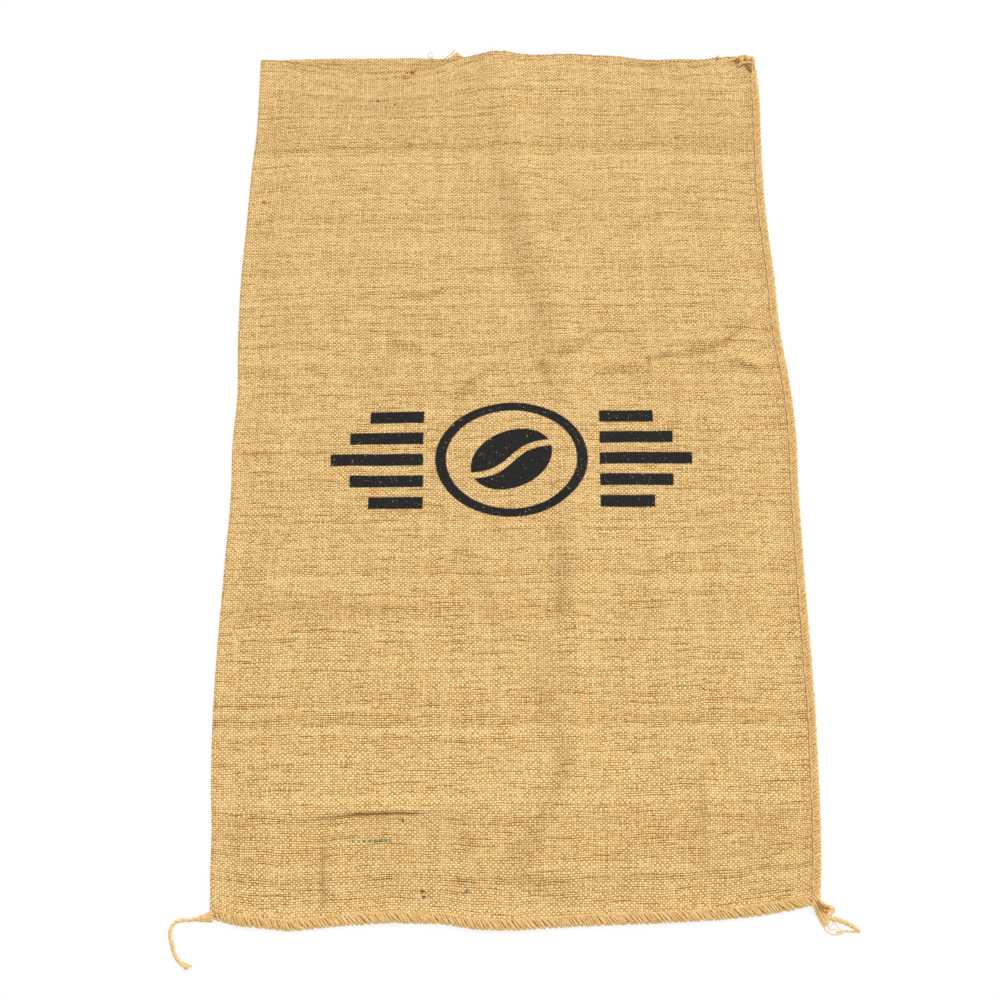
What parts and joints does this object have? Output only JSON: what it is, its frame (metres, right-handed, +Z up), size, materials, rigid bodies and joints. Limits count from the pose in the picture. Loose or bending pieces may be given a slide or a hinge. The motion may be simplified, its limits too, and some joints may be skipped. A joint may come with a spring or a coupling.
{
  "type": "burlap sack, empty and lying flat",
  "caption": "Empty woven jute sack lying flat, one cloth folded along its left side, open at the mouth, its right and bottom edges overcast with twine that ends in a knot and loose ends.",
  "frame": {"origin": "on the surface the sack lies on, at the middle of the sack's bounding box without its loose twine ends", "axes": "+Y along the sack towards its open mouth, +X towards its sewn side, +Z up from the surface"},
  "size_m": [0.6657, 1.0591, 0.0168],
  "materials": {
    "jute_cloth": "plain-woven jute, golden tan, dry and matt, with slubs and uneven yarns",
    "jute_twine": "twisted jute twine, golden tan, hairy and matt"
  },
  "bodies": {
    "root": {"sack_cloth": "jute_cloth", "side_seam_twine": "jute_twine", "bottom_seam_twine": "jute_twine", "mouth_knot": "jute_twine", "tail_left": "jute_twine", "tail_right": "jute_twine", "tail_stub": "jute_twine"}
  },
  "joints": []
}
